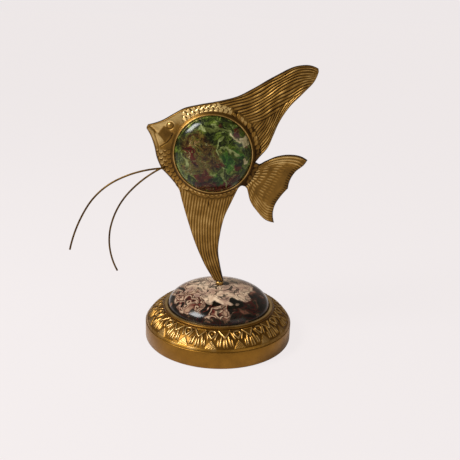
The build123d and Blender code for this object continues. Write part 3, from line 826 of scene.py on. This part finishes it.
def body_stone():
    """A cabochon about Z, with its dome upwards."""
    profile = [(0, stone_back), (girdle_r, stone_back), (girdle_r, dome_foot - 0.4), (lip_r, dome_foot)]
    for i in range(1, dome_points + 1):
        angle = i / dome_points * pi / 2
        reach = lip_r * cos(angle) ** (2 / dome_power) if i < dome_points else 0
        profile.append((reach, dome_foot + (dome_top - dome_foot) * sin(angle)))
    return turned(profile, 128)


def body_bezel():
    """The ring that holds a body stone: a spigot, a spreading foot and a rolled lip."""
    inner_r, spigot_r = girdle_r + 0.15, girdle_r + 0.8
    profile = [(inner_r, stone_back), (spigot_r, stone_back), (spigot_r, band_top), (bezel_r, band_top)]
    profile += [(bezel_r - 0.12, band_top + 0.35), (bezel_r - 0.75, band_top + 0.8)]
    profile += [(spigot_r + 0.2, lip_top - 0.35), (spigot_r - 0.15, lip_top - 0.06), (spigot_r - 0.5, lip_top)]
    profile += [(lip_r + 0.35, lip_top - 0.08), (lip_r + 0.15, lip_top - 0.25), (lip_r + 0.15, lip_top - 0.4)]
    profile += [(inner_r, lip_top - 0.4)]
    return turned(profile, 128)


for side, name in ((1, "front"), (-1, "rear")):
    stone = facing(body_stone(), side)
    finish_piece(stone, f"{name}_cabochon", "fish", green_stone, f"{name}_stone")
    bezel = facing(body_bezel(), side)
    on_lip = np.abs([v.co.y for v in bezel.verts]) > lip_top - 0.1
    store_wear_and_painted_light(bezel, np.where(on_lip, lip_wear, foot_wear))
    finish_piece(bezel, f"{name}_stone_bezel", "fish", fish_brass, f"{name}_bezel")

# %% [markdown]
# ## Base stone
# The stone on the base is a brecciated jasper: cream fragments on top, then swirls of cream and maroon, and
# near-black towards the rim, with dark squiggled veins. Its shape is an elliptical dome over a low girdle, spun
# about the stud's axis, with the stud's hole.

# %% Base stone
# Stops of each colour ramp: low end, high end, then those between
CREAMS = [(0.34, "#83675A"), (0.70, "#CDB59B"), (0.42, "#9C806D"), (0.54, "#B39981")]
SWIRLS = [(0.36, "#0B0906"), (0.68, "#8E725C"), (0.40, "#4A1A14"), (0.43, "#8E7460"), (0.47, "#A88E76"),
          (0.485, "#120D09"), (0.50, "#4A1812"), (0.53, "#6E4E3E"), (0.545, "#9C826A"), (0.58, "#A58A72"),
          (0.595, "#16100B"), (0.62, "#4E1C15")]
REDS = [(0.36, "#0B0A06"), (0.70, "#6E4436"), (0.45, "#1E0A07"), (0.52, "#3C120D"), (0.58, "#14180B")]
DARKS = [(0.36, "#070605"), (0.70, "#6A4A38"), (0.46, "#140C09"), (0.50, "#2C0D0A"), (0.60, "#10150B")]


def base_stone_material():
    """Polished brecciated jasper: cream fragments in a maroon and dark ground, a glossy polish."""
    material, tree = new_material("cream_jasper_polished")
    place = add(tree, "TexCoord").outputs["Object"]
    swirl_mm, chip_mm, roll_mm, vein_mm, scribble_mm = 8.0, 8.0, 11.0, 12.0, 6.0
    bent = warped(tree, place, swirl_mm, 1.0, 8)
    chips = noise(tree, bent, chip_mm, 2.0, Distortion=1.0)[0]
    rolls = noise(tree, bent, roll_mm, 1.0, Distortion=1.2)[0]
    cream, dark = ramp(tree, chips, CREAMS), ramp(tree, chips, DARKS)
    swirl, red = ramp(tree, rolls, SWIRLS), ramp(tree, rolls, REDS)
    spot = add(tree, "SeparateXYZ", {0: bent}).outputs
    height = maths(tree, "MULTIPLY_ADD", spot[0], 0.035, spot[2])
    swirl = blend(tree, fade(tree, spot[0], 7 * MM, 10 * MM, 0.0, 1.0), swirl, red)
    colour = blend(tree, fade(tree, height, 34.0 * MM, 33.4 * MM, 0.0, 1.0), cream, swirl)
    colour = blend(tree, fade(tree, height, 27.6 * MM, 26.4 * MM, 0.0, 1.0), colour, dark)
    # Thin dark veins: two contours of a coarse noise, and one of a fine noise
    coarse = noise(tree, bent, vein_mm, 1.0, Distortion=1.2)[0]
    fine = noise(tree, bent, scribble_mm, 1.0, Distortion=0.8)[0]
    squiggles = [(coarse, 0.5, 0.015, 0.9), (coarse, 0.42, 0.010, 0.75), (fine, 0.57, 0.016, 0.65)]
    for source, level, width, strength in squiggles:
        squiggle = contour(tree, source, level, 1.6 * width, width, strength)
        colour = blend(tree, squiggle, colour, linear("#1B1812"))
    polished(tree, colour)
    return material


cream_stone = base_stone_material()
base_girdle_r = box_mm("base_stone")[1].x
bore_in_stone = 1.9
dome_foot_z = seat_z + 1.1
dome_foot_r = base_girdle_r - 0.3
dome_rise = (box_mm("base_stone")[1].z - dome_foot_z) / sqrt(1 - (bore_in_stone / dome_foot_r) ** 2)
profile = [(bore_in_stone, seat_z), (base_girdle_r, seat_z), (base_girdle_r, dome_foot_z - 0.3)]
cap_points = 36
for i in range(cap_points + 1):
    angle = i / cap_points * np.arccos(bore_in_stone / dome_foot_r)
    profile.append((dome_foot_r * cos(angle), dome_foot_z + dome_rise * sin(angle)))
finish_piece(turned(profile, 160), "base_dome", "base", cream_stone, "base_stone")

# %% [markdown]
# ## Base drum and bead
# The drum is a plain turned wall with softened edges and a ledge inside. A rounded bead holds the base stone. It
# is rubbed along its top alone, and that bright crest also stands for a painted highlight line.

# %% Base drum and bead
wall_in_r = base_r - 1.8
drum_low = box_mm("base_drum")[0].z
ledge_r = wall_in_r - 3.0
ledge_low, ledge_high = 3.0, 8.6
edge_soft = 0.6
wall_wear = 0.42
profile = [(wall_in_r, drum_low), (base_r - edge_soft, drum_low), (base_r - 0.18, drum_low + 0.18)]
profile += [(base_r, drum_low + edge_soft), (base_r, drum_top - 0.45), (base_r - 0.12, drum_top - 0.14)]
profile += [(base_r - 0.4, drum_top), (wall_in_r, drum_top), (wall_in_r, ledge_high), (ledge_r, ledge_high)]
profile += [(ledge_r, ledge_low), (wall_in_r, ledge_low)]
drum = turned(profile, 192)
store_wear_and_painted_light(drum, wall_wear)
finish_piece(drum, "base_wall", "base", base_brass, "base_drum")

bead_high = box_mm("base_bezel")[1]
bead_out = bead_high.x
bead_in = dome_foot_r + 0.15
bead_foot_z = seat_z + 0.6
bead_lip_z = dome_foot_z + 0.25
bead_points = 14
profile = [(base_girdle_r + 0.15, seat_z), (bead_out, seat_z), (bead_out, bead_foot_z)]
for i in range(bead_points + 1):
    angle = pi * i / bead_points
    across = (bead_out + bead_in) / 2 + (bead_out - bead_in) / 2 * cos(angle)
    foot = bead_foot_z + (bead_lip_z - bead_foot_z) * i / bead_points
    profile.append((across, foot + (bead_high.z - bead_lip_z) * 1.4 * sin(angle) ** 0.8))
profile += [(bead_in, dome_foot_z), (base_girdle_r + 0.15, dome_foot_z - 0.3)]
bead = turned(profile, 160)
bead_z = np.array([v.co.z for v in bead.verts])
# Bright crest: the bead is rubbed along its top, and the crest also carries a painted highlight line.
store_wear_and_painted_light(bead, 0.2 + 0.55 * smooth_step(bead_high.z - 0.6, bead_high.z - 0.1, bead_z))
finish_piece(bead, "base_bead", "base", base_brass, "base_bezel")

# %% [markdown]
# ## Border drawing
# The sloping cover between drum and bead carries a traditional border. Each unit has a loop with a leaf beside
# it, a pointed pair of lines between two loops, a fan of narrow leaves below the point, and a hammered field
# below the loop. The drawing gives a height from 0 to 1 at an angle round the base and a distance down the slope.

# %% Border drawing
# One half of a unit in millimetres: out from its middle line (loop and sheath), or from the line between two
# units (point and fan), and down the slope. Leaves are root, tip and half width
LOOP = [(0.0, 1.1), (0.9, 1.2), (1.6, 1.7), (2.1, 2.5), (2.2, 3.4), (2.0, 4.4), (1.5, 5.4), (0.8, 6.4), (0.0, 7.5)]
SHEATH = ((4.0, 1.6), (2.1, 8.4), 0.6)
POINT = [(3.5, 0.8), (1.6, 4.4), (0.0, 6.8)]
FAN = [((0.5, 7.2), (1.1, 13.1), 0.74), ((1.9, 4.8), (3.6, 12.4), 0.8), ((4.2, 7.6), (5.0, 12.4), 0.6)]
units = 16
stroke_half = 0.5
slope_in = (bead_out + 0.15, seat_z)
slope_out = (box_mm("rim_cover")[1].x, drum_top + 0.25)
slope_run, slope_fall = slope_out[0] - slope_in[0], slope_in[1] - slope_out[1]
slope_len = sqrt(slope_run**2 + slope_fall**2)


def stroke(points, a, b):
    """A raised stroke along a line: 1 on the line, 0 a little past its half width."""
    return 1 - smooth_step(0.55, 1.25, near_line(points, a, b) / stroke_half)


def leaf(root, tip, half_width, a, b):
    """A raised leaf between two points, widest past its middle and pointed at both ends."""
    run = np.hypot(tip[0] - root[0], tip[1] - root[1])
    k = ((a - root[0]) * (tip[0] - root[0]) + (b - root[1]) * (tip[1] - root[1])) / run**2
    off = np.abs((a - root[0]) * (tip[1] - root[1]) - (b - root[1]) * (tip[0] - root[0])) / run
    room = half_width * np.sqrt(np.clip(np.sin(pi * np.clip(k, 0, 1) ** 1.2), 0, 1))
    return np.clip(1 - (off / np.maximum(room, 1e-3)) ** 2, 0, 1) * ((k > 0) & (k < 1))


def border(angle, b):
    """The border's height, and its pointed panels, at an angle round the base and a distance down the slope."""
    pitch = tau / units
    around_unit = (angle + pitch / 2) % pitch - pitch / 2
    radius_there = slope_in[0] + b * slope_run / slope_len
    a = around_unit * radius_there
    mirrored = np.abs(a)
    beside = pitch / 2 * radius_there - mirrored
    raised = [stroke(LOOP, mirrored, b), stroke(POINT, beside, b), leaf(*SHEATH, mirrored, b)]
    raised.append(0.5 * np.clip(1 - np.hypot(a / 0.8, (b - 3.4) / 1.0) ** 2, 0, 1))
    raised += [leaf(*blade, beside, b) for blade in FAN]
    hammered = 0.68 + 0.32 * np.sin(5.3 * a + 2.0 * b) * np.sin(4.7 * b - 1.7 * a)
    raised.append(hammered * smooth_step(-0.25, 0.25, (b - 8.6) * 0.8 - mirrored))
    raised.append(smooth_step(13.3, 13.7, b))
    pointed = smooth_step(-0.2, 0.4, 3.5 * (6.8 - b) / 6.0 - beside)
    return np.maximum.reduce(raised), pointed


print(f"border: {units} units on a slope of {slope_len:.2f} mm")

# %% [markdown]
# ## Border cover
# The cover is spun in fine steps, with a slight swell on its slope. Each vertex on the slope then sinks where the
# drawing is low, at right angles to the slope. The same drawing says where the brass is rubbed.

# %% Border cover
slope_points, steps_a_unit = 66, 56
bulge = 1.4
wall = 1.4
carving_depth = 0.55
border_turn = radians(94)
plain_wear, margin_wear = 0.3, 0.52
under = seat_z - wall
skirt_out, skirt_in, skirt_low = wall_in_r - 0.15, wall_in_r - 1.75, drum_top - 1.6
seat_in = box_mm("stone_bed")[1].x + 0.15
profile = [(skirt_out, drum_top), (slope_out[0], drum_top)]
for i in range(slope_points + 1):
    k = i / slope_points
    swell = bulge * 4 * k * (1 - k) / slope_len
    out = slope_out[0] - slope_run * k + swell * slope_fall
    up = slope_out[1] + slope_fall * k + swell * slope_run
    profile.append((out, up))
profile += [(seat_in, seat_z), (seat_in, under), (slope_in[0] - wall, under), (skirt_in, drum_top)]
profile += [(skirt_in, skirt_low), (skirt_out, skirt_low)]
cover = turned(profile, units * steps_a_unit)
spots = np.array([v.co for v in cover.verts])
radius = np.hypot(spots[:, 0], spots[:, 1])
chord = slope_out[1] + slope_fall * (slope_out[0] - radius) / slope_run
on_slope = (radius > slope_in[0] + 0.05) & (radius < slope_out[0] - 0.05) & (spots[:, 2] > chord - 0.1)
down = (radius - slope_in[0]) * slope_len / slope_run
drawing, panel = border(np.arctan2(spots[:, 1], spots[:, 0]) + border_turn, down)
carved = smooth_step(0.2, 0.7, down) * (1 - smooth_step(slope_len - 1.2, slope_len - 0.7, down))
lift = np.where(on_slope, carving_depth * (drawing - 1.0) * carved, 0.0)
rub = 0.12 + 0.6 * drawing + (0.24 * panel + 0.1 * smooth_step(7.0, 9.5, down)) * (1 - drawing)
rub += (margin_wear - rub) * smooth_step(13.2, 13.6, down)
store_wear_and_painted_light(cover, np.where(on_slope, rub, plain_wear))
for v, height_up in zip(cover.verts, lift):
    outward = Vector((v.co.x, v.co.y, 0)).normalized() * (slope_fall / slope_len)
    v.co += (outward + Vector((0, 0, slope_run / slope_len))) * height_up
bmesh.ops.recalc_face_normals(cover, faces=cover.faces)
finish_piece(cover, "border_cover", "base", base_brass, "rim_cover")

# %% [markdown]
# ## Feelers and collar
# The feelers are drawn brass wire, bent by hand into sweeping arcs. Their solids already have the right shape, so
# they stay and get a finish: fine grain from the drawing, and a light tarnish. The collar under the stem is
# turned again here with softened edges, in a brass that is rubbed all round.

# %% Drawn brass


def drawn_brass_material():
    """Drawn brass wire, bare and lightly tarnished: warm, half bright, with brown clouds."""
    material, tree = new_material("drawn_brass_tarnished")
    place = add(tree, "TexCoord").outputs["Object"]
    cloud_mm, line_mm = 5.0, 0.3
    cloud = noise(tree, place, cloud_mm, 3.0)[0]
    marks = noise(tree, place, line_mm, 2.0)[0]
    inputs = {
        "Base Color": ramp(tree, cloud, [(0.3, "#3C290E"), (0.7, "#5E4519")]),
        "Metallic": 1.0,
        "Roughness": fade(tree, cloud, 0.3, 0.7, 0.5, 0.38),
        "Normal": bump(tree, 0.1, 0.05, marks),
    }
    end_in(tree, "BsdfPrincipled", inputs)
    return material


drawn_brass = drawn_brass_material()
collar_brass = antiqued_brass("collar_turned_brass_rubbed", "#3A2209", "#8A6426", "#E8C884", 0.26, 0.42, 0.05)
collar_low, collar_high = box_mm("foot_ferrule")
collar_bore = 1.53
collar_r = collar_high.x
collar_wear = 0.6
profile = [(collar_bore, collar_low.z), (collar_r - 0.4, collar_low.z), (collar_r - 0.1, collar_low.z + 0.35)]
profile += [(collar_r, collar_low.z + 0.8), (collar_r, collar_high.z - 0.6), (collar_r - 0.2, collar_high.z - 0.1)]
profile += [(collar_r - 0.45, collar_high.z), (collar_bore, collar_high.z)]
collar = turned(profile, 64)
store_wear_and_painted_light(collar, collar_wear)
finish_piece(collar, "foot_collar", "fish", collar_brass, "foot_ferrule")

# %% [markdown]
# ## Hidden and underside pieces
# What holds the figurine together is inside the base, and only the felt shows from below. Each of these keeps
# its solid and gets the finish of its real material, with a grain at that material's own scale.

# %% Finishes of the pieces that keep their solids


def grained(name, dark, light, grain_mm, rough, metallic, uneven):
    """A plain material with a two-tone grain: felt, board, plaster, fibre or plated steel."""
    material, tree = new_material(name)
    place = add(tree, "TexCoord").outputs["Object"]
    grain = noise(tree, place, grain_mm, 5.0)[0]
    inputs = {
        "Base Color": ramp(tree, grain, [(0.3, dark), (0.7, light)]),
        "Metallic": metallic,
        "Roughness": rough,
        "Normal": bump(tree, uneven, 0.2, grain),
    }
    end_in(tree, "BsdfPrincipled", inputs)
    return material


finishes = [
    (grained("felt_wool_pressed", "#0F1F14", "#2C4533", 0.6, 0.95, 0.0, 0.8), ["felt_pad"]),
    (grained("fibreboard_pressed", "#4E3822", "#755436", 1.2, 0.8, 0.0, 0.3), ["backing_board"]),
    (grained("steel_sheet_rolled", "#77797B", "#9A9C9E", 2.5, 0.38, 1.0, 0.1), ["base_plate"]),
    (
        grained("plaster_cast", "#C9C3B4", "#E6E2D6", 1.5, 0.9, 0.0, 0.3),
        ["base_weight", "stone_bed", "stone_cement"],
    ),
    (
        grained("steel_zinc_plated", "#8F949A", "#B9BDC2", 1.0, 0.32, 1.0, 0.1),
        ["flat_washer", "lock_nut", "mounting_stud"],
    ),
    (grained("fibre_vulcanised", "#4F1C12", "#7A3122", 0.8, 0.6, 0.0, 0.2), ["fibre_washer"]),
    (drawn_brass, ["front_feeler", "rear_feeler"]),
]
for finish, worn_by in finishes:
    for node in worn_by:
        nodes[node].data.materials.clear()
        nodes[node].data.materials.append(finish)
print("finishes:", len(finishes))

# %% [markdown]
# ## Floor and world
# The photograph shows a pale, even ground. The floor glows in that colour for the camera and for reflections,
# with a share of plain diffuse so that it keeps the figurine's soft shadow. The world behind it has the same
# colour for the camera, and lights the scene weakly from all sides.

# %% Floor and world
ground_colour = linear("#F0EAEA")
floor_size = 20.0
bm = bmesh.new()
bmesh.ops.create_grid(bm, x_segments=1, y_segments=1, size=floor_size)
floor_mesh = bpy.data.meshes.new("floor")
bm.to_mesh(floor_mesh)
bm.free()
floor = bpy.data.objects.new("floor", floor_mesh)
bpy.context.scene.collection.objects.link(floor)
material, tree = new_material("floor_pale_paper")
path = add(tree, "LightPath").outputs
seen_in_gloss = maths(tree, "MAXIMUM", path["Is Glossy Ray"], path["Is Transmission Ray"])
seen_in_gloss = maths(tree, "MULTIPLY", seen_in_gloss, 0.2)
share = maths(tree, "MAXIMUM", maths(tree, "MULTIPLY", path["Is Camera Ray"], 0.95), seen_in_gloss)
paper = add(tree, "BsdfDiffuse", {"Color": ground_colour}).outputs[0]
glow = add(tree, "Emission", {"Color": ground_colour, "Strength": 1.013}).outputs[0]
end_in(tree, "MixShader", {0: share, 1: paper, 2: glow})
floor_mesh.materials.append(material)

world = bpy.data.worlds.new("studio")
bpy.context.scene.world = world
world.use_nodes = True
tree = world.node_tree
tree.nodes.clear()
for_camera = add(tree, "LightPath").outputs["Is Camera Ray"]
far_wall = add(tree, "Background", {"Color": ground_colour, "Strength": 0.975}).outputs[0]
room_light = add(tree, "Background", {"Color": linear("#FBEFDF"), "Strength": 0.33}).outputs[0]
sky = add(tree, "MixShader", {0: for_camera, 1: room_light, 2: far_wall})
add(tree, "OutputWorld", {0: sky.outputs[0]})
print("floor and world:", floor.name, world.name)

# %% [markdown]
# ## Lamps
# One large soft lamp stands above on the left, where the highlights of both stones point. A weak one fills in
# from the right.

# %% Lamps


def soft_lamp(name, place, target, size, watts):
    """A square soft lamp at a place, turned to a target, both in metres."""
    lamp = bpy.data.lights.new(name, "AREA")
    lamp.shape = "SQUARE"
    lamp.size = size
    lamp.energy = watts
    stand = bpy.data.objects.new(name, lamp)
    stand.location = place
    stand.rotation_euler = (Vector(target) - Vector(place)).to_track_quat("-Z", "Y").to_euler()
    bpy.context.scene.collection.objects.link(stand)
    print(f"{name}: {watts} W")


soft_lamp("key_lamp", (-0.44, -0.23, 0.56), (0, 0, 0.08), 0.27, 6.9)
soft_lamp("fill_lamp", (0.6, -0.6, 0.35), (0, 0, 0.1), 0.5, 1.0)

# %% [markdown]
# ## Camera
# The camera was matched to the photograph: its focal length in pixels, its place, and how far it looks down and
# leans. The lens follows from the sensor's width and the picture's width in pixels.

# %% Camera
focal_px, image_px = 650.0, 460.0
camera_place = Vector((5.98, -408.21, 214.43)) * MM
pitch, roll = 0.32700, 0.03590
ahead = Vector((0, cos(pitch), -sin(pitch)))
right = Vector((1, 0, 0))
up = right.cross(ahead)
tilted_right = right * cos(roll) + up * sin(roll)
tilted_up = up * cos(roll) - right * sin(roll)
camera_turn = Matrix((tilted_right, tilted_up, -ahead)).transposed().to_4x4()
camera_data = bpy.data.cameras.new("camera")
camera_data.sensor_width = 36.0
camera_data.lens = camera_data.sensor_width * focal_px / image_px
camera = bpy.data.objects.new("camera", camera_data)
camera.matrix_world = Matrix.Translation(camera_place) @ camera_turn
bpy.context.scene.collection.objects.link(camera)
bpy.context.scene.camera = camera
bpy.context.scene.view_settings.view_transform = "Standard"
print(f"camera: {camera_data.lens:.1f} mm lens")
